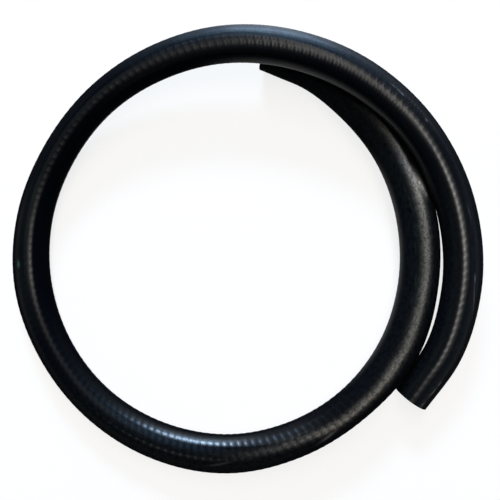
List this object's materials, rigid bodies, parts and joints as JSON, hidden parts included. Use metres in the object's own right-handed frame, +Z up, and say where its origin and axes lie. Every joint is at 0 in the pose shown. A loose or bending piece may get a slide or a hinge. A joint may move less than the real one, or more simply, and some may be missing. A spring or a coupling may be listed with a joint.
{
  "type": "soaker hose",
  "caption": "Cut length of textile-reinforced black rubber hose with plain square ends, lying in a loose spiral that rests on both of its own ends.",
  "frame": {"origin": "middle of the footprint of the lying hose, on the floor", "axes": "+X towards the side where the two strands lie side by side, +Y towards the crossing over the inner end, +Z up from the floor"},
  "size_m": [0.2726, 0.2547, 0.0431],
  "materials": {
    "liner_rubber": "smooth matt black extruded rubber",
    "knit_textile": "undyed polyester yarn knitted in courses round the liner, soaked grey with rubber",
    "cover_rubber": "semi-gloss black rubber with fine cross ribs telegraphed by the textile, and dull grainy stretches"
  },
  "bodies": {
    "root": {"inner_tube": "liner_rubber", "reinforcement": "knit_textile", "outer_cover": "cover_rubber"}
  },
  "joints": []
}
